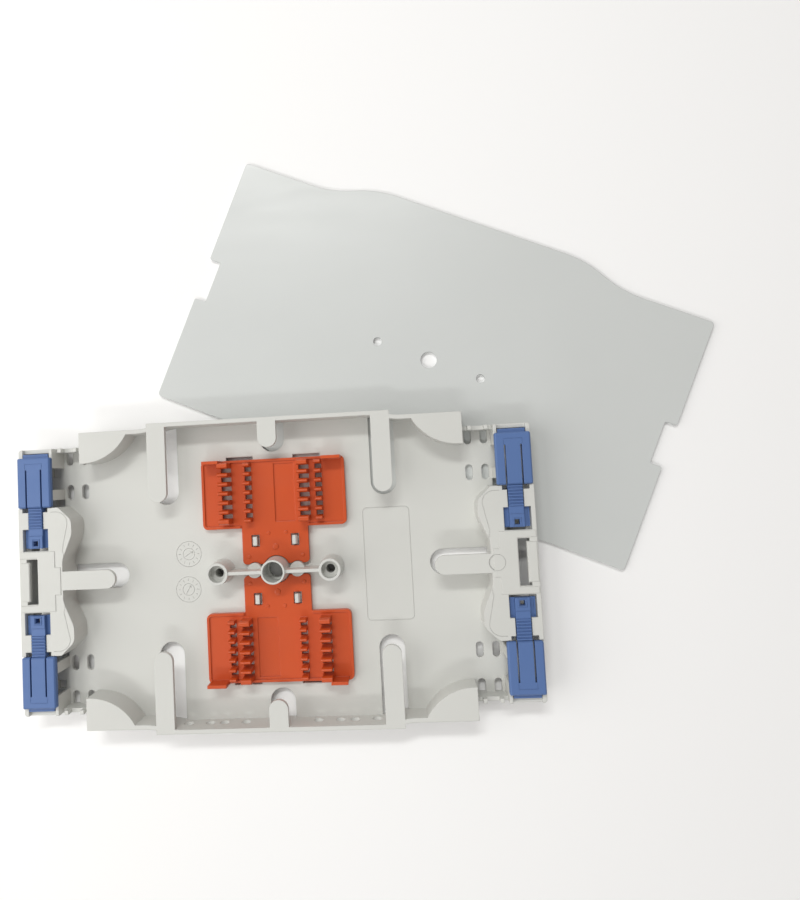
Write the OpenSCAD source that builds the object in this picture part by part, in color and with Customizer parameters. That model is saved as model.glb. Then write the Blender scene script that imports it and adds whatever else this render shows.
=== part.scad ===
// Fibre splice tray: a moulded tray with retaining fingers, two snap-in
// splice holders, four sliding stacking latches and its lift-off lid.
// Origin on the axis of the centre post at the underside of the tray, which
// rests on the loose lid. +X runs along the tray, +Y across it, +Z up.

/* [Tray] */
// Length of the tray over its end blocks
tray_len = 198; // [192:1:214]
// Width of the tray over its middle walls
tray_w = 118; // [117:1:130]
// Height from the underside to the top of the walls
tray_h = 12; // [11.5:0.5:16]
// Thickness of the floor
floor_t = 1.6; // [1.2:0.1:2.2]
// Thickness of the outer walls
wall_t = 1.6; // [1.2:0.1:2]
// Thickness of the fingers, covers and end plates
plate_t = 1.6; // [1.2:0.1:2]
// How far the walls step in between the middle and the corners
shoulder_step = 2.1; // [1:0.1:4]
// Half length of the full-width middle of the walls
shoulder_x = 40.8; // [36:0.2:44]
// Length of the slanted wall between the middle and the corners
shoulder_run = 7.6; // [5:0.2:9]
// Draught and edge radius of the outline's corners
edge_r = 1.2; // [0.6:0.1:2]

/* [Fingers] */
// Width of a retaining finger
finger_w = 7.2; // [5:0.2:8]
// Distance of the four long fingers from the middle of the tray
finger_x = 43.4; // [41:0.2:46]
// Reach of the long fingers inward from the wall
finger_reach = 29; // [20:0.5:30]
// Reach of the two short fingers inward from the wall
short_reach = 10; // [6:0.5:10]
// Reach of the two end fingers inward from the end blocks
end_reach = 20.8; // [12:0.4:26]
// Gap around a finger in the floor opening beneath it
finger_gap = 1.3; // [0.8:0.1:1.8]

/* [End blocks] */
// Width of an end block
block_w = 56.8; // [54:0.4:60]
// Depth of an end block at its nose
block_d = 21.1; // [19:0.1:24]
// How far the neck lies back from the nose
neck_step = 4; // [2:0.2:6]
// Width of the label slot in an end block
label_w = 3.2; // [2:0.2:4]
// Length of the label slot in an end block
label_len = 17.4; // [12:0.2:19]
// Width of the spring lip outside the label slot
label_lip = 4; // [3:0.2:5]

/* [Corner covers] */
// Radius of the curved fibre guide under a corner cover
guide_r = 20.2; // [18:0.2:23]
// Thickness of the curved fibre guide
guide_t = 1.4; // [1:0.1:2]

/* [Cable ports] */
// Length of the cable port between a corner cover and a latch bay
port_len = 11.5; // [10.5:0.5:14]
// How far the port wall stands back from the corner cover
port_step = 5.5; // [4:0.5:8]
// Height of the port wall
port_h = 7.2; // [5:0.2:8]
// Height of the small horns on the port wall
horn_h = 2.8; // [1:0.2:3.2]
// Width of a cable-tie slot
tie_w = 2.8; // [2:0.1:3.4]
// Length of a cable-tie slot
tie_len = 6; // [4:0.2:8]
// Spacing of the two cable-tie slots of a pair
tie_pitch = 6.2; // [5:0.1:7]
// Distance of the inner cable-tie slots from the long centre line
tie_y = 33.9; // [32:0.1:36]

/* [Posts] */
// Outer radius of the centre post at its top
post_r = 4.6; // [4.2:0.1:5]
// Bore radius of the centre post
post_bore_r = 3.9; // [3:0.1:4]
// Radius of the hole at the foot of the centre post
post_hole_r = 3.2; // [2:0.1:3.4]
// Distance of the screw posts from the centre post
screw_x = 21.6; // [20.6:0.2:24]
// Outer radius of a screw post at its top
screw_r = 4.2; // [3.8:0.1:4.6]
// Radius of the counterbore for a screw head
head_r = 3.2; // [2.4:0.1:3.4]
// Radius of the screw hole
screw_hole_r = 1.7; // [1.2:0.1:2]
// Depth of the counterbore
head_depth = 4; // [2:0.2:5]
// Thickness of the rib between the posts
rib_t = 1.3; // [0.8:0.1:1.8]
// Radius of the two locating studs beside the centre post
stud_r = 2.9; // [2:0.1:3]
// Distance of the locating studs from the centre post
stud_x = 8.4; // [8.2:0.1:9.2]

/* [Splice holders] */
// Length of a holder's pad
pad_len = 56.8; // [54:0.4:62]
// Depth of a holder's pad
pad_d = 26.8; // [26:0.2:28]
// Distance of the pad from the long centre line
pad_y = 16.4; // [15.4:0.2:17.4]
// Thickness of the pad
pad_t = 1.8; // [1.4:0.1:2.2]
// Width of the waist that reaches the centre line
waist_w = 26.2; // [24:0.2:28]
// Pitch of the splice channels
channel_pitch = 3.62; // [3.4:0.02:3.8]
// Number of splice channels
channels = 6; // [4:1:6]
// Thickness of a comb tooth
tooth_t = 1.5; // [1.1:0.1:1.7]
// Height of the wide comb teeth above the pad
tooth_h = 6.6; // [4:0.2:7.6]
// Height of the narrow comb teeth above the pad
low_tooth_h = 4.2; // [3:0.2:5]
// Length of the label recess
recess_len = 22.7; // [16:0.1:23]
// Width of the label recess
recess_w = 8; // [6:0.2:9]

/* [Latches] */
// Length of a latch's cover plate
latch_len = 19.4; // [16:0.2:20]
// Width of the spring tongue and ribbed grip
tongue_w = 5.4; // [4.4:0.1:6]
// Width of the slits beside the tongue
slit_w = 0.6; // [0.4:0.1:0.8]
// Length of the slits beside the tongue
slit_len = 14.8; // [8:0.2:15]
// Width of the latch's guide plate
guide_plate_w = 8.6; // [8.2:0.1:9.4]
// Number of grip ribs
grip_ribs = 7; // [4:1:8]
// Travel of a latch, outward
latch_travel = 6; // [2:0.5:8]

/* [Lid] */
// Length of the lid
lid_len = 195.6; // [180:0.2:200]
// Width of the lid at its ends
lid_w = 101.6; // [96:0.2:106]
// How far the lid's long sides bulge in the middle
lid_bulge = 6.9; // [4:0.1:8]
// Thickness of the lid
lid_t = 1.5; // [1:0.1:2]
// Length of the notch in each end of the lid
notch_len = 17; // [12:0.5:24]
// Depth of the notch in each end of the lid
notch_d = 4.7; // [3:0.1:6]
// Turn of the loose lid as it lies under the tray
lid_turn = -23.6; // [-40:0.2:-10]

/* [Hidden] */
$fn = 64;

// Small overlaps, the gap around sliding pieces and around fitted ones
eps = 0.05;
slide_gap = 0.15;
fit_gap = 0.3;

// Stations along X, from the end of the tray inward
end_x = tray_len / 2;
bay_w = 13.5;
bay_x = end_x - bay_w;
bay_post = 1.2;
cover_x = bay_x - port_len;
tie_x = bay_x - 2.5;
nose_x = end_x - block_d;
neck_x = nose_x + neck_step;
end_rail = 1;
pocket_w = 10.7;
pocket_out = end_x - end_rail;
pocket_in = pocket_out - pocket_w;
latch_x = pocket_in + 4.75;

// Stations across Y, from the long centre line outward
half_w = tray_w / 2;
wall_y = half_w - wall_t;
cover_y = half_w - shoulder_step;
port_y = cover_y - port_step;
block_y = block_w / 2;
pocket_len = 16.6;
pocket_y = block_y - pocket_len;

// Heights, and the clear width between the rails of a latch pocket
latch_z = tray_h - 0.9;
latch_t = 2;
bay_h = latch_z - slide_gap;
guide_plate_t = 1;
guide_z = latch_z - guide_plate_t - 0.5;
guide_top = guide_z + guide_plate_t + slide_gap;
ledge_z = guide_z - slide_gap;
ledge_t = 1.3;
ledge_gap = guide_plate_w - 1.8;
lip_z = guide_z + 0.1;
sill_z = lip_z - slide_gap;
screw_h = tray_h - 0.6;
rib_h = tray_h - 0.8;
stud_h = floor_t + 3.6;
pad_z = floor_t;
pad_top = pad_z + pad_t;

// Helpers for outlines: a clockwise loop of points [x, y, corner radius]
function unit(v) = v / norm(v);
function side(a, b) = let (u = unit([b[0] - a[0], b[1] - a[1]])) [u[1], -u[0]];
function turn(a, b, c) = (b[0] - a[0]) * (c[1] - b[1]) - (b[1] - a[1]) * (c[0] - b[0]);
function at(p, i) = p[(i + len(p)) % len(p)];

// Moves every edge of a clockwise outline [x, y, r] inward by d
function inset(p, d) = [for (i = [0:len(p) - 1])
    let (a = at(p, i - 1), b = p[i], c = at(p, i + 1),
         n = side(a, b), m = side(b, c),
         shift = d * (n + m) / (1 + n * m),
         r = b[2] + (turn(a, b, c) > 0 ? d : -d))
    [b[0] + shift[0], b[1] + shift[1], max(r, 0)]];

// Points of one rounded corner
function corner(a, b, c, steps) =
    let (u = unit([a[0] - b[0], a[1] - b[1]]), v = unit([c[0] - b[0], c[1] - b[1]]),
         half = acos(max(-1, min(1, u * v))) / 2,
         centre = [b[0], b[1]] + unit(u + v) * b[2] / sin(half),
         s = [b[0], b[1]] + u * b[2] / tan(half) - centre,
         e = [b[0], b[1]] + v * b[2] / tan(half) - centre,
         a0 = atan2(s[1], s[0]), da = (atan2(e[1], e[0]) - a0 + 540) % 360 - 180)
    [for (k = [0:steps]) centre + b[2] * [cos(a0 + da * k / steps), sin(a0 + da * k / steps)]];

// A closed outline whose points [x, y, r] are rounded by their own radius
function rounded(p, steps = 8) = [for (i = [0:len(p) - 1])
    each p[i][2] < eps ? [[p[i][0], p[i][1]]] : corner(at(p, i - 1), p[i], at(p, i + 1), steps)];

// The four mirror images of a quarter outline, as one clockwise loop
function flip(p) = [for (i = [len(p) - 1:-1:0]) p[i]];
function four_sided(q) = concat(q,
    flip([for (p = q) [p[0], -p[1], p[2]]]),
    [for (p = q) [-p[0], -p[1], p[2]]],
    flip([for (p = q) [-p[0], p[1], p[2]]]));
function rectangle(x0, y0, x1, y1, r) = [[x0, y1, r], [x1, y1, r], [x1, y0, r], [x0, y0, r]];

// Radius that turns a slanted step of a wall into a soft S
function soft_r(run, step) = 0.42 * norm([run, step]) / tan(atan2(step, run) / 2);

// Outline of the tray
shoulder_r = soft_r(shoulder_run, shoulder_step);
tray_outline = four_sided([
    [shoulder_x, half_w, shoulder_r],
    [shoulder_x + shoulder_run, cover_y, shoulder_r],
    [cover_x, cover_y, edge_r],
    [cover_x, port_y, 0],
    [end_x, port_y, edge_r]]);

// Outline of an end block: square outside, a bulged nose and a neck inside
nose_y = block_y - 5;
nose_len = 5.8;
neck_run = 9.6;
nose_r = 4.5;
neck_r = 8;
block_nose = [
    [end_x, block_y, 0],
    [nose_x + 5.3, block_y, edge_r],
    [nose_x, nose_y, nose_r],
    [nose_x, nose_y - nose_len, neck_r],
    [neck_x, nose_y - nose_len - neck_run, neck_r]];
block_outline = concat(flip(block_nose), [for (p = block_nose) [p[0], -p[1], p[2]]]);

module four() {
    for (mx = [0, 1], my = [0, 1]) mirror([mx, 0, 0]) mirror([0, my, 0]) children();
}
module both_ends() {
    for (a = [0, 180]) rotate(a) children();
}
module shape(p) {
    polygon(rounded(p));
}
module bar(x0, y0, x1, y1, r = 0) {
    polygon(rounded(rectangle(x0, y0, x1, y1, r)));
}
module block(x0, y0, z0, x1, y1, z1) {
    translate([x0, y0, z0]) cube([x1 - x0, y1 - y0, z1 - z0]);
}

// ---- Tray ----

// A finger seen from above: its round tip at the origin, its root length away
module finger_plan(length, grow = 0) {
    w = finger_w + 2 * grow;
    translate([0, w / 2 - grow]) circle(d = w);
    translate([-w / 2, w / 2 - grow]) square([w, length - w / 2 + grow]);
}
// All the fingers, rooted in the walls, or the floor openings beneath them
module fingers_plan(grow = 0, root = 0) {
    four() translate([finger_x, wall_y - finger_reach]) finger_plan(finger_reach + root, grow);
    both_ends() {
        translate([0, wall_y - short_reach]) finger_plan(short_reach + root, grow);
        translate([neck_x - end_reach, 0]) rotate(-90) finger_plan(end_reach + root, grow);
    }
}
// Plan of one corner cover, its free edge on the fibre guide's curve
guide_x = cover_x - 1.1;
guide_y = cover_y + 8.1;
module cover_plan(r) {
    intersection() {
        translate([guide_x, guide_y]) circle(r = r, $fn = 96);
        translate([guide_x - r, 0]) square([cover_x - guide_x + r, cover_y]);
    }
}
module covers_plan(r) {
    four() intersection() {
        cover_plan(r);
        shape(tray_outline);
    }
}
module tie_slot(x, y0, y1) {
    r = tie_w / 2;
    translate([x, y0 + r]) circle(r = r);
    translate([x, y1 - r]) circle(r = r);
    translate([x - r, y0 + r]) square([tie_w, y1 - y0 - tie_w]);
}
// Openings of the floor in one quarter: cable-tie slots, the slit for a
// holder's tab, and two drain windows in the latch bay
tie_xs = [tie_x, tie_x - tie_pitch];
tie_out_y = port_y - wall_t;
tie_in_y = tie_out_y - tie_len + 1;
tab_x = 13.4;
tab_len = 10.2;
tab_t = 0.9;
pad_out_y = pad_y + pad_d;
tab_out_y = pad_out_y - fit_gap;
tab_room = 1.3;
bay_out_y = port_y - wall_t - 6;
bay_in_y = block_y + 2.8;
bay_mid_y = bay_in_y + 4.1;
module quarter_openings() {
    for (x = tie_xs) {
        tie_slot(x, tie_y - tie_len / 2, tie_y + tie_len / 2);
        tie_slot(x, tie_in_y, tie_out_y + tie_w);
    }
    bar(tab_x - tab_len / 2 - fit_gap, tab_out_y - tab_t - fit_gap,
        tab_x + tab_len / 2 + fit_gap, pad_out_y + tab_room);
    bar(bay_x + wall_t, bay_out_y - 3.4, bay_x + 4.8, bay_out_y + eps);
    bar(bay_x, block_y, bay_x + 3.5, bay_in_y);
}
module floor_plan() {
    difference() {
        shape(tray_outline);
        fingers_plan(finger_gap);
        four() quarter_openings();
        covers_plan(guide_r - guide_t);
        both_ends() shape(inset(block_outline, wall_t));
        circle(r = post_hole_r);
        for (s = [-1, 1]) translate([s * screw_x, 0]) circle(r = screw_hole_r);
    }
}
// The outer wall stands all round, lowered at the ports and latch bays
horn_w = 1.4;
guide_end = 11.6;
module walls() {
    difference() {
        linear_extrude(tray_h) difference() {
            shape(tray_outline);
            shape(inset(tray_outline, wall_t));
        }
        four() {
            block(cover_x + eps, block_y, bay_h, end_x + 1, port_y + 1, tray_h + 1);
            block(cover_x + eps, block_y, port_h, bay_x, port_y + 1, tray_h + 1);
            block(bay_x, tie_out_y - eps, sill_z, end_x - wall_t, port_y + 1, tray_h + 1);
        }
    }
    four() {
        for (x = tie_xs)
            block(x - horn_w / 2, tie_out_y, port_h - eps, x + horn_w / 2, port_y, port_h + horn_h);
        block(bay_x, bay_out_y, 0, bay_x + bay_post, port_y - eps, bay_h);
        block(bay_x, bay_in_y, 0, bay_x + bay_post, bay_mid_y, bay_h);
        block(cover_x - guide_t, cover_y - guide_end, 0, cover_x, cover_y - eps, tray_h - eps);
    }
}
module fibre_guides() {
    linear_extrude(tray_h) difference() {
        covers_plan(guide_r);
        four() translate([guide_x, guide_y]) circle(r = guide_r - guide_t, $fn = 96);
    }
    translate([0, 0, tray_h - plate_t]) linear_extrude(plate_t) covers_plan(guide_r);
}
module fingers() {
    translate([0, 0, tray_h - plate_t]) linear_extrude(plate_t) fingers_plan(root = wall_t);
}

// Plan of the latch pocket and its two guide tabs, in one quarter
guide_tab_y = pocket_y + 8.5;
module pocket_plan() {
    difference() {
        bar(pocket_in, pocket_y, pocket_out, block_y + 1);
        for (s = [0, 1]) translate([latch_x, 0]) mirror([s, 0])
            bar(tongue_w / 2 + fit_gap, guide_tab_y, pocket_w, block_y - wall_t);
    }
}
// The label slot, with a notch at each outer corner that frees the lip
label_x = end_x - label_lip - label_w;
notch_w = 1.2;
module label_slot_plan() {
    bar(label_x, -label_len / 2, label_x + label_w, label_len / 2, fit_gap);
    for (s = [-1, 1])
        translate([label_x + label_w - eps, s * (label_len - notch_w) / 2 - notch_w / 2])
            square([notch_w, notch_w]);
}
module end_blocks() {
    difference() {
        both_ends() {
            linear_extrude(tray_h) difference() {
                shape(block_outline);
                shape(inset(block_outline, wall_t));
            }
            translate([0, 0, tray_h - plate_t]) linear_extrude(plate_t) shape(block_outline);
        }
        translate([0, 0, -1]) linear_extrude(tray_h + 2) four() pocket_plan();
        four() block(pocket_in, pocket_y, ledge_z, pocket_out, block_y + 1, guide_top);
        translate([0, 0, -1]) linear_extrude(tray_h + 2) both_ends() label_slot_plan();
    }
    four() ledges();
}
// Ledges that carry a latch's guide plate along both sides of its pocket
module ledges() {
    rail_y = block_y - wall_t + eps;
    low = ledge_z - ledge_t;
    block(pocket_in - end_rail, pocket_y - end_rail, low, pocket_in, rail_y, tray_h - eps);
    block(pocket_in - eps, pocket_y, low, latch_x - ledge_gap / 2, block_y, ledge_z);
    block(latch_x + ledge_gap / 2, pocket_y, low, pocket_out + eps, block_y, ledge_z);
}

// Posts on the long centre line, the rib that ties them, and the studs
foot_r = 0.6;
module posts() {
    rotate_extrude($fn = 96) polygon([[0, 0], [post_r + foot_r, 0], [post_r + foot_r, floor_t],
        [post_r, tray_h], [0, tray_h]]);
    for (s = [-1, 1]) translate([s * screw_x, 0]) rotate_extrude() polygon([
        [0, 0], [screw_r + foot_r, 0], [screw_r + foot_r, floor_t],
        [screw_r + 0.2, floor_t + 2], [screw_r, screw_h], [0, screw_h]]);
    block(-screw_x, -rib_t / 2, 0, screw_x, rib_t / 2, rib_h);
    for (s = [-1, 1]) translate([s * stud_x, 0]) cylinder(r = stud_r, h = stud_h);
}
post_floor = floor_t + 1;
module post_bores() {
    translate([0, 0, post_floor]) cylinder(r = post_bore_r, h = tray_h, $fn = 96);
    translate([0, 0, -1]) cylinder(r = post_hole_r, h = tray_h, $fn = 96);
    for (s = [-1, 1]) translate([s * screw_x, 0]) {
        translate([0, 0, screw_h - head_depth]) cylinder(r = head_r, h = tray_h);
        translate([0, 0, -1]) cylinder(r = screw_hole_r, h = tray_h);
    }
}
// A snap hook that rises through a window in a holder and latches over it
hook_x = 7.6;
hook_y = 11.3;
hook_w = 1.3;
hook_len = 3.4;
hook_nose = 0.6;
hook_z = pad_top + slide_gap;
hook_h = 1.4;
module snap_hook() {
    translate([hook_w / 2, hook_len / 2, 0]) rotate([90, 0, 0]) linear_extrude(hook_len)
        polygon([[0, 0], [0, hook_z], [hook_nose, hook_z], [hook_nose, hook_z + hook_h / 4],
                 [0, hook_z + hook_h], [-hook_w, hook_z + hook_h], [-hook_w, 0]]);
}
module snap_hooks() {
    four() translate([hook_x, hook_y, 0]) snap_hook();
}
// Round holes through the south wall, in two pairs each side of the middle
hole_r = 1.8;
hole_z = floor_t + 3.8;
hole_xs = [14, 22.4, 28, 36.4];
module wall_holes() {
    for (s = [-1, 1], x = hole_xs)
        translate([s * x, -half_w - 1, hole_z]) rotate([-90, 0, 0])
            cylinder(r = hole_r, h = wall_t + 2, $fn = 24);
}

module tray() color([0.86, 0.86, 0.83]) difference() {
    union() {
        linear_extrude(floor_t) floor_plan();
        walls();
        fibre_guides();
        fingers();
        end_blocks();
        posts();
        snap_hooks();
    }
    post_bores();
    wall_holes();
}

// ---- Splice holders ----

waist_y = 2.2;
pad_r = 2;
waist_r = 1.6;
holder_outline = [
    [-pad_len / 2, pad_out_y, pad_r], [pad_len / 2, pad_out_y, pad_r],
    [pad_len / 2, pad_y, pad_r], [waist_w / 2, pad_y, fit_gap],
    [waist_w / 2, waist_y, waist_r], [-waist_w / 2, waist_y, waist_r],
    [-waist_w / 2, pad_y, fit_gap], [-pad_len / 2, pad_y, pad_r]];
// Comb columns: middle, width, tooth height and thickness of the end teeth
end_tooth_t = 2.2;
wide_w = 4;
narrow_w = 2.6;
columns = [[-18.5, wide_w, tooth_h, end_tooth_t], [-9.8, narrow_w, low_tooth_h, tooth_t],
           [12.4, wide_w, tooth_h, end_tooth_t], [18.1, narrow_w, low_tooth_h, tooth_t]];
comb_y = pad_y + 14;
// A tooth with a slight neck below its head, which keeps the splice sleeves in
neck = 0.2;
head_h = 2.4;
bevel = 0.6;
module tooth(w, h, t) {
    half = [[t / 2, 0], [t / 2 - neck, h - head_h], [t / 2 + neck / 4, h - head_h / 2],
            [t / 2 - bevel / 2, h - neck], [t / 2 - bevel, h]];
    translate([-w / 2, 0, 0]) rotate([90, 0, 90]) linear_extrude(w)
        polygon(concat(half, flip([for (p = half) [-p[0], p[1]]])));
}
module combs() {
    for (c = columns, i = [0:channels])
        translate([c[0], comb_y + (i - channels / 2) * channel_pitch, pad_top - eps])
            tooth(c[1], c[2] + eps, i % channels == 0 ? c[3] : tooth_t);
}
window_y = channel_pitch - tooth_t - 2 * neck;
module comb_windows() {
    for (c = columns, i = [0:channels - 1])
        translate([c[0] - c[1] / 2, comb_y + (i + 0.5 - channels / 2) * channel_pitch - window_y / 2])
            square([c[1], window_y]);
}
module holder_plan() {
    difference() {
        shape(holder_outline);
        circle(r = post_r + foot_r + slide_gap, $fn = 96);
        for (s = [-1, 1]) {
            translate([s * stud_x, 0]) circle(r = stud_r + slide_gap);
            translate([s * (hook_x + 0.2), hook_y])
                square([hook_w + hook_nose + 1.3, hook_len + 4 * fit_gap], center = true);
        }
        square([2 * waist_w, 2 * (rib_t / 2 + fit_gap)], center = true);
        comb_windows();
    }
}
// A low rim runs around the pad but not around its waist
rim_h = 0.5;
rim_w = 1;
recess_x = 0.4;
recess_y = pad_y + 2.1;
recess_d = 0.4;
ear_t = 1.2;
ears = [[20, 27.4], [-26.4, -20]];
tab_z = 0.3;
module pad_rim() {
    linear_extrude(rim_h + eps) difference() {
        shape(holder_outline);
        shape(inset(holder_outline, rim_w));
        translate([-waist_w / 2 - fit_gap, 0]) square([waist_w + 2 * fit_gap, pad_y + rim_w + eps]);
    }
}
module splice_holder() color([0.85, 0.36, 0.17]) {
    difference() {
        union() {
            translate([0, 0, pad_z]) linear_extrude(pad_t) holder_plan();
            translate([0, 0, pad_top - eps]) pad_rim();
        }
        block(recess_x, recess_y, pad_top - recess_d,
            recess_x + recess_w, recess_y + recess_len, pad_top + 1);
    }
    combs();
    for (e = ears) block(e[0], pad_out_y - ear_t, pad_top - eps, e[1], pad_out_y, pad_top + tooth_h);
    for (s = [-1, 1]) translate([s * tab_x, tab_out_y, 0])
        block(-tab_len / 2, -tab_t, tab_z, tab_len / 2, 0, pad_z + eps);
}

// ---- Latches ----

// A latch on its own axis: cover plate outward of y = 0, spring tongue,
// ribbed grip and guide plate inward of it
latch_y = block_y + 0.2;
tail_y = pocket_y + 1.1 - latch_y;
latch_w = bay_w - 2 * slide_gap;
grip_len = 8.2;
grip_drop = 0.9;
grip_z = latch_z + latch_t - grip_drop;
guide_plate_len = 11.2;
end_pad = 4.8;
end_pad_h = 0.3;
chamfer = 0.5;
cover_r = 0.8;
key_w = 1.9;
lip_w = bay_w - bay_post - wall_t - 4 * slide_gap;
lip_len = 5.5;
lip_out = 1.5;
// Profile of a plate whose two upper edges are chamfered
module chamfered_profile(a, b, z0, z1) {
    polygon([[a, z0], [a, z1 - chamfer], [a + chamfer, z1], [b - chamfer, z1], [b, z1 - chamfer], [b, z0]]);
}
module chamfered(x, y, z0, z1) {
    intersection() {
        translate([0, 0, z0]) linear_extrude(z1 - z0) bar(-x, 0, x, y, cover_r);
        translate([0, y, 0]) rotate([90, 0, 0]) linear_extrude(y) chamfered_profile(-x, x, z0, z1);
        translate([-x, 0, 0]) rotate([90, 0, 90]) linear_extrude(2 * x) chamfered_profile(0, y, z0, z1);
    }
}
module grip_rib() {
    rotate([90, 0, 90]) linear_extrude(tongue_w)
        polygon([[-0.4, -eps], [-0.2, 0.4], [0.2, 0.4], [0.4, -eps]]);
}
module latch() color([0.40, 0.51, 0.76]) {
    t = tongue_w / 2;
    difference() {
        chamfered(latch_w / 2, latch_len, latch_z, latch_z + latch_t);
        for (s = [0, 1]) mirror([s, 0, 0]) translate([t, -1, 0]) cube([slit_w, slit_len + 1, 2 * tray_h]);
    }
    difference() {
        union() {
            block(-t, tail_y, guide_z, t, eps, grip_z);
            block(-t, tail_y, grip_z - eps, t, tail_y + end_pad, grip_z + end_pad_h);
            translate([-guide_plate_w / 2, tail_y, guide_z])
                cube([guide_plate_w, guide_plate_len, guide_plate_t]);
        }
        translate([-key_w / 2, tail_y + key_w / 2, 0]) cube([key_w, key_w, 2 * tray_h]);
    }
    for (i = [0:grip_ribs - 1])
        translate([-t, -grip_len * (i + 0.5) / grip_ribs, grip_z]) grip_rib();
    block(-lip_w / 2, latch_len + lip_out - lip_len, lip_z, lip_w / 2, latch_len + lip_out, latch_z + eps);
}
module latch_at(mx, my) {
    mirror([mx, 0, 0]) mirror([0, my, 0]) translate([latch_x, latch_y, 0]) latch();
}

// ---- Lid ----

lid_at = [63.8, 79];
bulge_in = 43;
bulge_run = 18;
lid_side_r = soft_r(bulge_run, lid_bulge);
lid_corner_r = 1.5;
notch_r = 0.8;
lid_outline = four_sided([
    [bulge_in, lid_w / 2 + lid_bulge, lid_side_r],
    [bulge_in + bulge_run, lid_w / 2, lid_side_r],
    [lid_len / 2, lid_w / 2, lid_corner_r],
    [lid_len / 2, notch_len / 2, notch_r],
    [lid_len / 2 - notch_d, notch_len / 2, notch_r]]);
module lid() color([0.87, 0.88, 0.87]) translate([lid_at[0], lid_at[1], -lid_t]) rotate(lid_turn) {
    linear_extrude(lid_t) difference() {
        shape(lid_outline);
        circle(r = post_hole_r, $fn = 96);
        for (s = [-1, 1]) translate([s * screw_x, 0]) circle(r = screw_hole_r);
    }
}

tray();
splice_holder();  // splice_holder_north
rotate(180) splice_holder();  // splice_holder_south
latch_at(0, 0);  // latch_ne
latch_at(1, 0);  // latch_nw
latch_at(0, 1);  // latch_se
latch_at(1, 1);  // latch_sw
lid();
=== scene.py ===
"""Looks of the fibre splice tray: moulded plastics, fine moulding marks, studio and camera."""
import math

import bmesh
import bpy
from mathutils import Euler, Matrix, Vector


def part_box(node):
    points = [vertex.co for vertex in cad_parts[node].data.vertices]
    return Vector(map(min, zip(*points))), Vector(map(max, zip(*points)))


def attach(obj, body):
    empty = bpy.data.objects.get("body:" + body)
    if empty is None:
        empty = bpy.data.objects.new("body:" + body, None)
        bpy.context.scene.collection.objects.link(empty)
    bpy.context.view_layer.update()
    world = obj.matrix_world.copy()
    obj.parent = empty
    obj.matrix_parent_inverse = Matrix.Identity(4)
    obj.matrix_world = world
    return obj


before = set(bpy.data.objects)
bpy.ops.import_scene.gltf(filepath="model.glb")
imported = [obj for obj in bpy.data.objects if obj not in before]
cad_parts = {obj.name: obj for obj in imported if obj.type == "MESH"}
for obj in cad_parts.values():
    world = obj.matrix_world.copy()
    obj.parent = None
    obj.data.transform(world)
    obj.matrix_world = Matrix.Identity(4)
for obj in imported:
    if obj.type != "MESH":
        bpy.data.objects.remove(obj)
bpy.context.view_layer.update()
MM = 0.001
CORNERS = ("ne", "nw", "se", "sw")


def mm(*values):
    """A point or size given in millimetres, in metres."""
    return Vector(values) * MM


# ---- Camera, at the photograph's viewing angle ----

CAMERA_PLACE = (48.5, 34.5, 258.0)  # millimetres
CAMERA_TURN = (2.75, 4.04, -2.94)  # degrees about X, Y and Z
CAMERA_LENS = 26.14  # millimetres, on Blender's 36 mm sensor
CAMERA_SHIFT = (0.0556, -0.0078)  # shares of the picture's longer side
NEAR_CLIP = 0.01


def add_camera():
    data = bpy.data.cameras.new("camera")
    data.lens = CAMERA_LENS
    data.shift_x, data.shift_y = CAMERA_SHIFT
    data.clip_start = NEAR_CLIP
    camera = bpy.data.objects.new("camera", data)
    camera.location = mm(*CAMERA_PLACE)
    camera.rotation_euler = Euler([math.radians(a) for a in CAMERA_TURN])
    bpy.context.scene.collection.objects.link(camera)
    bpy.context.scene.camera = camera


# ---- Node materials ----

NOISE_LOW, NOISE_HIGH = 0.3, 0.7  # most values of a noise texture lie between these
SLOW_SCALE = 22  # noise scales, in grains per metre
STREAK_SCALE = 90
FINE_SCALE = 2600
STREAK_STRETCH = (0.25, 1.6, 1)
STREAK_SHARE = 0.35  # most of the tint that a streak mixes in
GLOSS_SWING = 0.12  # how far streaks move the roughness either way
BEVEL_SAMPLES = 6


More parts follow.
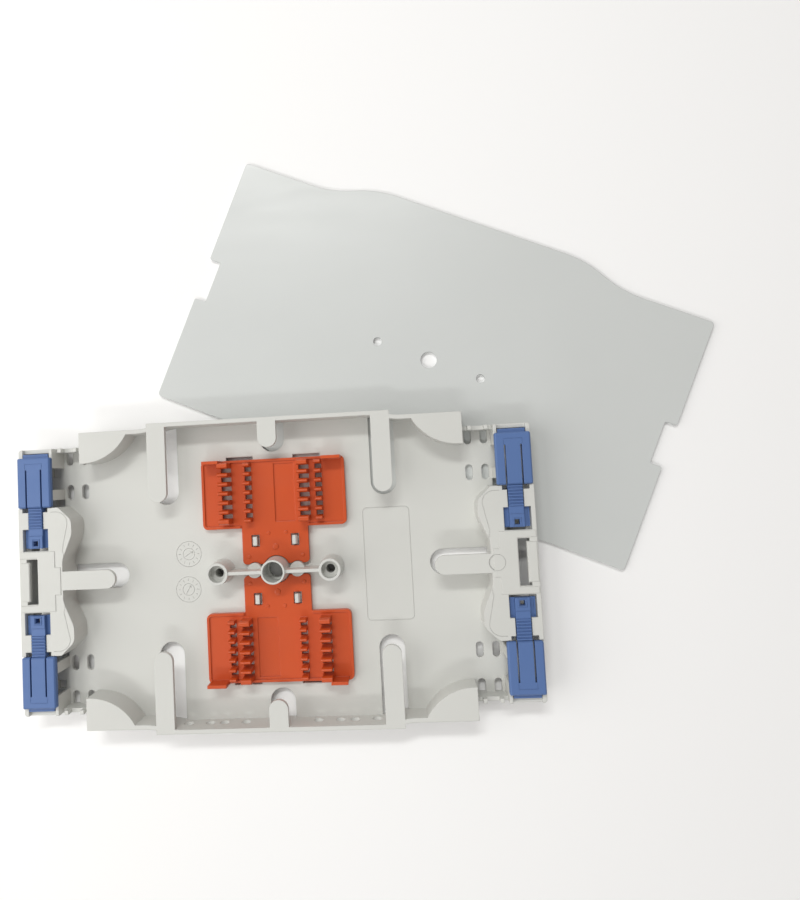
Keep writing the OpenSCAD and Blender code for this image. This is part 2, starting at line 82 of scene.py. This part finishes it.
class Nodes:
    """A material's node tree, with short calls to add and join nodes."""

    def __init__(self, name):
        self.material = bpy.data.materials.new(name)
        self.material.use_nodes = True
        self.tree = self.material.node_tree
        self.tree.nodes.clear()
        self.output = self.add("ShaderNodeOutputMaterial")
        self.shader = self.add("ShaderNodeBsdfPrincipled")
        self.join(self.shader.outputs["BSDF"], self.output.inputs["Surface"])
        self.place = self.add("ShaderNodeTexCoord").outputs["Object"]

    def add(self, kind, **settings):
        node = self.tree.nodes.new(kind)
        for key, value in settings.items():
            setattr(node, key, value)
        return node

    def join(self, source, target):
        self.tree.links.new(source, target)

    def noise(self, scale, detail, rough=0.5, stretch=(1, 1, 1)):
        """Noise whose grains are about 1 / scale metres, stretched along the axes."""
        mapping = self.add("ShaderNodeMapping")
        mapping.inputs["Scale"].default_value = stretch
        self.join(self.place, mapping.inputs["Vector"])
        node = self.add("ShaderNodeTexNoise")
        node.inputs["Scale"].default_value = scale
        node.inputs["Detail"].default_value = detail
        node.inputs["Roughness"].default_value = rough
        self.join(mapping.outputs["Vector"], node.inputs["Vector"])
        return node.outputs["Fac"]

    def spread(self, value, low, high):
        """A noise value's usual range, mapped onto low to high."""
        node = self.add("ShaderNodeMapRange")
        node.inputs["From Min"].default_value = NOISE_LOW
        node.inputs["From Max"].default_value = NOISE_HIGH
        node.inputs["To Min"].default_value = low
        node.inputs["To Max"].default_value = high
        self.join(value, node.inputs["Value"])
        return node.outputs["Result"]

    def blend(self, factor, first, second):
        """The mix of two colours, each a tuple or another node's output."""
        node = self.add("ShaderNodeMix", data_type="RGBA")
        self.join(factor, node.inputs["Factor"])
        for socket, value in ((node.inputs["A"], first), (node.inputs["B"], second)):
            if isinstance(value, tuple):
                socket.default_value = (*value, 1.0)
            else:
                self.join(value, socket)
        return node.outputs["Result"]

    def bump(self, height, depth, normal):
        """A bump of the given depth in metres, on top of another normal."""
        node = self.add("ShaderNodeBump")
        node.inputs["Strength"].default_value = 1.0
        node.inputs["Distance"].default_value = depth
        self.join(height, node.inputs["Height"])
        self.join(normal, node.inputs["Normal"])
        return node.outputs["Normal"]


def shade(colour, factor):
    return tuple(min(1.0, c * factor) for c in colour)


def moulded(name, colour, gloss, grain, waves, edge, tint):
    """A moulded plastic. Gloss is its roughness and tint the share by which its colour varies. In
    millimetres, grain is the depth of the mould's fine texture, waves the depth of slow sink marks
    and edge the radius of its soft edges."""
    nodes = Nodes(name)
    slow = nodes.noise(SLOW_SCALE, detail=3)
    fine = nodes.noise(FINE_SCALE, detail=3, rough=0.6)
    streaks = nodes.noise(STREAK_SCALE, detail=4, stretch=STREAK_STRETCH)
    dark, light = shade(colour, 1 - tint), shade(colour, 1 + tint / 2)
    body = nodes.blend(nodes.spread(slow, 0, 1), dark, light)
    body = nodes.blend(nodes.spread(streaks, 0, STREAK_SHARE), body, dark)
    nodes.join(body, nodes.shader.inputs["Base Color"])
    rough = nodes.spread(streaks, gloss * (1 - GLOSS_SWING), gloss * (1 + GLOSS_SWING))
    nodes.join(rough, nodes.shader.inputs["Roughness"])
    bevel = nodes.add("ShaderNodeBevel", samples=BEVEL_SAMPLES)
    bevel.inputs["Radius"].default_value = edge * MM
    normal = nodes.bump(slow, waves * MM, bevel.outputs["Normal"])
    normal = nodes.bump(fine, grain * MM, normal)
    nodes.join(normal, nodes.shader.inputs["Normal"])
    return nodes


def dress(node, nodes):
    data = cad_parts[node].data
    data.materials.clear()
    data.materials.append(nodes.material)


TRAY_GREY = (0.635, 0.64, 0.61)
ORANGE = (0.585, 0.08, 0.014)
BLUE = (0.088, 0.165, 0.38)
LID_GREY = (0.60, 0.62, 0.61)


def dress_nodes():
    """Give each CAD node its plastic, and return those that the marks are made of."""
    tray = moulded("tray_plastic", TRAY_GREY, gloss=0.42, grain=0.004, waves=0.06, edge=0.4, tint=0.04)
    holder = moulded("holder_plastic", ORANGE, gloss=0.34, grain=0.006, waves=0.14, edge=0.35, tint=0.08)
    latch = moulded("latch_plastic", BLUE, gloss=0.48, grain=0.005, waves=0.03, edge=0.35, tint=0.05)
    lid = moulded("lid_plastic", LID_GREY, gloss=0.36, grain=0.003, waves=0.2, edge=0.3, tint=0.02)
    dress("tray", tray)
    for side in ("north", "south"):
        dress("splice_holder_" + side, holder)
    for corner in CORNERS:
        dress("latch_" + corner, latch)
    dress("lid", lid)
    return tray, holder, latch


# ---- Shapes of marks, in millimetres until they become meshes ----

SINK = 0.03  # how far a mark's foot reaches into the face that it stands on
CREST = 0.55  # a ridge's width at its top, as a share of its width at its foot
MITRE = 0.5  # least cosine used at a corner, so that a sharp one isn't drawn out
DOME_PROFILE = ((0.92, 0.5), (0.7, 0.85), (0.35, 1))  # shares of a dome's radius and height


def add_piece(name, build, body, nodes):
    """A mesh piece drawn by build(bm) in millimetres, riding on a body of the frame."""
    bm = bmesh.new()
    build(bm)
    bmesh.ops.scale(bm, vec=(MM, MM, MM), verts=bm.verts)
    bmesh.ops.recalc_face_normals(bm, faces=bm.faces)
    mesh = bpy.data.meshes.new(name)
    bm.to_mesh(mesh)
    bm.free()
    mesh.materials.append(nodes.material)
    piece = bpy.data.objects.new(name, mesh)
    bpy.context.scene.collection.objects.link(piece)
    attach(piece, body)


def arc(x, y, radius, start, end, steps):
    """Points of an arc between two angles in degrees."""
    angles = [math.radians(start + (end - start) * i / steps) for i in range(steps + 1)]
    return [(x + radius * math.cos(a), y + radius * math.sin(a)) for a in angles]


def circle(x, y, radius, steps=48):
    return arc(x, y, radius, 0, 360, steps)[:-1]


def rectangle(x0, y0, x1, y1):
    return [(x0, y0), (x1, y0), (x1, y1), (x0, y1)]


def rounded_rectangle(x0, y0, x1, y1, radius, steps=6):
    corners = ((x1 - radius, y1 - radius, 0), (x0 + radius, y1 - radius, 90),
               (x0 + radius, y0 + radius, 180), (x1 - radius, y0 + radius, 270))
    return [p for x, y, turn in corners for p in arc(x, y, radius, turn, turn + 90, steps)]


def join_rows(bm, low, high):
    """A band of faces between two rings of as many vertices."""
    for i in range(len(low)):
        j = (i + 1) % len(low)
        bm.faces.new((low[i], low[j], high[j], high[i]))


def ridge(bm, path, width, z, height, closed=True):
    """A low ridge with sloping sides along a path, its foot sunk into the face at z."""
    points = [Vector(p) for p in path]
    count = len(points)
    section = ((1, z - SINK), (CREST, z + height), (-CREST, z + height), (-1, z - SINK))
    rows = []
    for i, point in enumerate(points):
        before = points[i - 1] if closed or i > 0 else point
        after = points[(i + 1) % count] if closed or i < count - 1 else point
        ends = ((before, point), (point, after))
        steps = [(b - a).normalized() for a, b in ends if (b - a).length > 0]
        along = sum(steps, Vector((0, 0))).normalized()
        across = Vector((-along.y, along.x)) * (width / 2 / max(MITRE, along.dot(steps[0])))
        rows.append([bm.verts.new((*(point + across * share), level)) for share, level in section])
    links = list(zip(rows, rows[1:]))
    if closed:
        links.append((rows[-1], rows[0]))
    else:
        bm.faces.new(rows[0])
        bm.faces.new(rows[-1])
    for first, second in links:
        join_rows(bm, first, second)


def slab(bm, outline, z0, z1, slope=0.12):
    """A thin raised plate over an outline that runs anticlockwise, its edges sloping inward."""
    points = [Vector(p) for p in outline]
    inner = []
    for i, point in enumerate(points):
        first = (point - points[i - 1]).normalized()
        second = (points[(i + 1) % len(points)] - point).normalized()
        inward = Vector((-first.y, first.x))
        normal = (inward + Vector((-second.y, second.x))).normalized()
        inner.append(point + normal * slope / max(MITRE, normal.dot(inward)))
    low = [bm.verts.new((*p, z0)) for p in points]
    high = [bm.verts.new((*p, z1)) for p in inner]
    bm.faces.new(low)
    bm.faces.new(high)
    join_rows(bm, low, high)


def dome(bm, x, y, radius, z, height, steps=24):
    """A low round bump."""
    rows = []
    for share, lift in ((1, -SINK / height), *DOME_PROFILE):
        rows.append([bm.verts.new((*p, z + lift * height)) for p in circle(x, y, radius * share, steps)])
    for low, high in zip(rows, rows[1:]):
        join_rows(bm, low, high)
    bm.faces.new(rows[0])
    bm.faces.new(rows[-1])


# ---- Marks on the tray's floor and end blocks ----

FLOOR_TOP = 1.6
PLATE_TOP = 12.0  # top of the walls and end blocks

DATE_CLOCKS = {"north": (-35.3, 7.1, 32), "south": (-35.9, -6.8, 58)}  # x, y, pointer in degrees
CLOCK_R = 5
CLOCK_HUB_R = 2.3
CLOCK_TICKS = 12
TICK_SPAN = (3.3, 4.2)
POINTER_REACH = 1.9
BARB_LEN = 0.8
BARB_SPREAD = 0.6

PANEL_BOX = (34.5, -21.5, 52.5, 22)  # x0, y0, x1, y1
PANEL_CORNER_R = 1.6

PLATE_RISE = 0.18  # height of the end plate over the end block
PLATE_INNER_X, PLATE_OUTER_X, PLATE_HALF = 84.8, 98.7, 11.6
FINGER_STEP_X, FINGER_STEP_HALF = 82.6, 5.3  # where the end plate meets the end finger
LABEL_GAP_X, LABEL_GAP_HALF = 91.7, 8.95  # its opening round the label slot
LIP_X, LIP_HALF = 95.15, 7.4  # the piece of it outside the label slot

GATE = (83.9, 0.2, 3)  # x, y, radius
NOSE_START = (86.1, 26.7)
NOSE_BEND = (84.1, 22.2, 4.5)  # x, y, radius, beside the latch pocket
NOSE_FOOT = (87.6, 9.5, 6.2)  # x, y, radius, beside the end finger


def date_clock(x, y, pointer):
    """A mould date ring: two rings, ticks between them and a plain pointer."""
    def build(bm):
        ridge(bm, circle(x, y, CLOCK_R), width=0.24, z=FLOOR_TOP, height=0.07)
        ridge(bm, circle(x, y, CLOCK_HUB_R, 32), width=0.18, z=FLOOR_TOP, height=0.05)
        for i in range(CLOCK_TICKS):
            turn = math.radians(i * 360 / CLOCK_TICKS)
            ends = [(x + r * math.cos(turn), y + r * math.sin(turn)) for r in TICK_SPAN]
            ridge(bm, ends, width=0.22, z=FLOOR_TOP, height=0.06, closed=False)
        turn = math.radians(pointer)
        along = Vector((math.cos(turn), math.sin(turn)))
        across = Vector((-along.y, along.x))
        middle = Vector((x, y))
        tip = middle + along * POINTER_REACH
        shaft = [middle - along * POINTER_REACH, tip]
        ridge(bm, shaft, width=0.26, z=FLOOR_TOP, height=0.08, closed=False)
        for side in (-1, 1):
            barb = [tip - along * BARB_LEN + across * BARB_SPREAD * side, tip]
            ridge(bm, barb, width=0.2, z=FLOOR_TOP, height=0.07, closed=False)
    return build


def blank_panel(bm):
    """The thin raised frame of the bare panel on the floor."""
    ridge(bm, rounded_rectangle(*PANEL_BOX, PANEL_CORNER_R), width=0.4, z=FLOOR_TOP, height=0.12)


def end_plate(bm):
    """The raised middle of the east end block, stepped round the label slot and the finger."""
    low, top = PLATE_TOP - SINK, PLATE_TOP + PLATE_RISE
    south = [(FINGER_STEP_X, -FINGER_STEP_HALF), (PLATE_INNER_X, -FINGER_STEP_HALF),
             (PLATE_INNER_X, -PLATE_HALF), (PLATE_OUTER_X, -PLATE_HALF),
             (PLATE_OUTER_X, -LABEL_GAP_HALF), (LABEL_GAP_X, -LABEL_GAP_HALF)]
    north = [(x, -y) for x, y in reversed(south)]
    slab(bm, south + north, low, top)
    slab(bm, rectangle(LIP_X, -LIP_HALF, PLATE_OUTER_X, LIP_HALF), low, top)


def nose_line(bm):
    """The line inside the rim of the east end block, from the latch pocket to the finger."""
    for side in (-1, 1):
        path = [NOSE_START] + arc(*NOSE_BEND, 90, 180, 8) + arc(*NOSE_FOOT, 158, 180, 5)
        ridge(bm, [(x, side * y) for x, y in path], width=0.3, z=PLATE_TOP, height=0.08, closed=False)


def gate_ring(bm):
    """The ring round the moulding gate, on the east end plate."""
    ridge(bm, circle(*GATE), width=0.2, z=PLATE_TOP + PLATE_RISE, height=0.05)


def turned(build):
    """The same marks on the west end block, half a turn round."""
    def build_turned(bm):
        build(bm)
        bmesh.ops.rotate(bm, verts=bm.verts, cent=(0, 0, 0), matrix=Matrix.Rotation(math.pi, 3, "Z"))
    return build_turned


# ---- Marks on the splice holders and latches ----

HOLDER_TOP = 3.4
EJECTOR_MARKS = ((0, 8.8, 1.3), (-10.6, 5.2, 0.8), (10.6, 5.2, 0.8),
                 (-2.6, 14.2, 0.8), (4.2, 14.2, 0.8))  # x, y, radius, on the north holder

# Distances along a latch are from its tail, and those across it from its middle line.
KEY_HOLE_Y = 1.9
KEY_RIM_HALF = 1.4
KEY_PAD_TOP = 12.5
GRIP_END = 15.7
GRIP_LEN = 8.2
GRIP_HALF = 2.66
GRIP_RIBS = 7
GRIP_TOP = 12.2
SLITS_END = 30.9
RECESS_LEN = 1.9
RECESS_HALF = 3.4
RECESS_DROP = 0.02  # how far its line starts below the latch's top
WING_LEN = 11.1
WING_BOTTOM, WING_TOP = 9.62, 10.6
WINGS = ((-4.55, -4.2), (4.2, 5.0))  # from and to, across the latch


def holder_marks(side):
    """Small ejector marks on a splice holder's waist and pad."""
    def build(bm):
        for x, y, radius in EJECTOR_MARKS:
            dome(bm, side * x, side * y, radius, HOLDER_TOP, height=0.16)
    return build


def latch_marks(corner):
    """A latch's grip ribs, guide wings, recess line and the square rim round its key hole."""
    low, high = [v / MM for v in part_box("latch_" + corner)]
    east = 1 if corner[1] == "e" else -1
    north = 1 if corner[0] == "n" else -1
    middle = (low.x + high.x) / 2
    tail = low.y if north > 0 else high.y

    def wing(x0, x1):
        points = [(middle + east * x, tail + north * y) for x, y in rectangle(x0, 0.0, x1, WING_LEN)]
        return points if east * north > 0 else points[::-1]

    def build(bm):
        hole = tail + north * KEY_HOLE_Y
        half = KEY_RIM_HALF
        rim = rectangle(middle - half, hole - half, middle + half, hole + half)
        ridge(bm, rim, width=0.5, z=KEY_PAD_TOP, height=0.14)
        start = tail + north * SLITS_END
        end = start + north * RECESS_LEN
        recess = [(middle - RECESS_HALF, start), (middle - RECESS_HALF, end),
                  (middle + RECESS_HALF, end), (middle + RECESS_HALF, start)]
        ridge(bm, recess, width=0.26, z=high.z - RECESS_DROP, height=0.06, closed=False)
        for i in range(GRIP_RIBS):
            y = tail + north * (GRIP_END - GRIP_LEN * (i + 0.5) / GRIP_RIBS)
            rib = [(middle - GRIP_HALF, y), (middle + GRIP_HALF, y)]
            ridge(bm, rib, width=0.86, z=GRIP_TOP, height=0.46, closed=False)
        for x0, x1 in WINGS:
            slab(bm, wing(x0, x1), WING_BOTTOM, WING_TOP, slope=0.03)
    return build


def add_marks(tray, holder, latch):
    for name, clock in DATE_CLOCKS.items():
        add_piece("date_clock_" + name, date_clock(*clock), "tray_body", tray)
    add_piece("blank_panel_frame", blank_panel, "tray_body", tray)
    for side, place in (("east", lambda build: build), ("west", turned)):
        add_piece("end_plate_" + side, place(end_plate), "tray_body", tray)
        add_piece("nose_line_" + side, place(nose_line), "tray_body", tray)
    add_piece("gate_ring", gate_ring, "tray_body", tray)
    for name, side in (("north", 1), ("south", -1)):
        add_piece("holder_marks_" + name, holder_marks(side), "tray_body", holder)
    for corner in CORNERS:
        add_piece("latch_marks_" + corner, latch_marks(corner), "latch_" + corner, latch)


# ---- Studio, in metres ----

FLOOR_HALF = 3.0
FLOOR_GAP = 0.05 * MM  # keeps the floor clear of the lid's underside
FLOOR_SCALE = 6
FLOOR_DARK, FLOOR_LIGHT = (0.92, 0.92, 0.92), (0.94, 0.94, 0.94)
FLOOR_ROUGHNESS = 0.7
STRIPS = (("north_strip", 34, 5.0), ("south_strip", -40, 2.2))  # name, tilt in degrees, watts
STRIP_TARGET = (0.03, 0.03, 0)
STRIP_X = -0.1
STRIP_REACH = 1.2
STRIP_SIZE = (0.5, 0.12)
STRIP_COLOUR = (0.99, 1.0, 0.98)
WINDOW_PLACE = (-0.6, 0.0, 0.5)
WINDOW_TARGET = (0, 0, 0)
WINDOW_SIZE = (0.9, 0.7)
WINDOW_POWER = 3.7
WINDOW_COLOUR = (1.0, 0.99, 0.97)
SKY_COLOUR = (1.0, 0.96, 0.94, 1)
SKY_STRENGTH = 0.38


def add_floor():
    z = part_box("lid")[0].z - FLOOR_GAP
    mesh = bpy.data.meshes.new("floor")
    outline = rectangle(-FLOOR_HALF, -FLOOR_HALF, FLOOR_HALF, FLOOR_HALF)
    mesh.from_pydata([(x, y, z) for x, y in outline], [], [(0, 1, 2, 3)])
    floor = bpy.data.objects.new("floor", mesh)
    bpy.context.scene.collection.objects.link(floor)
    nodes = Nodes("floor_paint")
    paint = nodes.blend(nodes.noise(FLOOR_SCALE, detail=2), FLOOR_DARK, FLOOR_LIGHT)
    nodes.join(paint, nodes.shader.inputs["Base Color"])
    nodes.shader.inputs["Roughness"].default_value = FLOOR_ROUGHNESS
    mesh.materials.append(nodes.material)


def area_light(name, place, target, size, power, colour):
    data = bpy.data.lights.new(name, "AREA")
    data.shape = "RECTANGLE"
    data.size, data.size_y = size
    data.energy = power
    data.color = colour
    light = bpy.data.objects.new(name, data)
    light.location = place
    light.rotation_euler = (Vector(target) - Vector(place)).to_track_quat("-Z", "Y").to_euler()
    bpy.context.scene.collection.objects.link(light)


def add_studio():
    add_floor()
    for name, tilt, power in STRIPS:
        lean = math.radians(tilt)
        place = (STRIP_X, STRIP_TARGET[1] + STRIP_REACH * math.sin(lean), STRIP_REACH * math.cos(lean))
        area_light(name, place, STRIP_TARGET, STRIP_SIZE, power, STRIP_COLOUR)
    area_light("west_window", WINDOW_PLACE, WINDOW_TARGET, WINDOW_SIZE, WINDOW_POWER, WINDOW_COLOUR)
    world = bpy.data.worlds.new("world")
    world.use_nodes = True
    background = world.node_tree.nodes["Background"]
    background.inputs["Color"].default_value = SKY_COLOUR
    background.inputs["Strength"].default_value = SKY_STRENGTH
    scene = bpy.context.scene
    scene.world = world
    scene.view_settings.view_transform = "Standard"


add_camera()
add_marks(*dress_nodes())
add_studio()
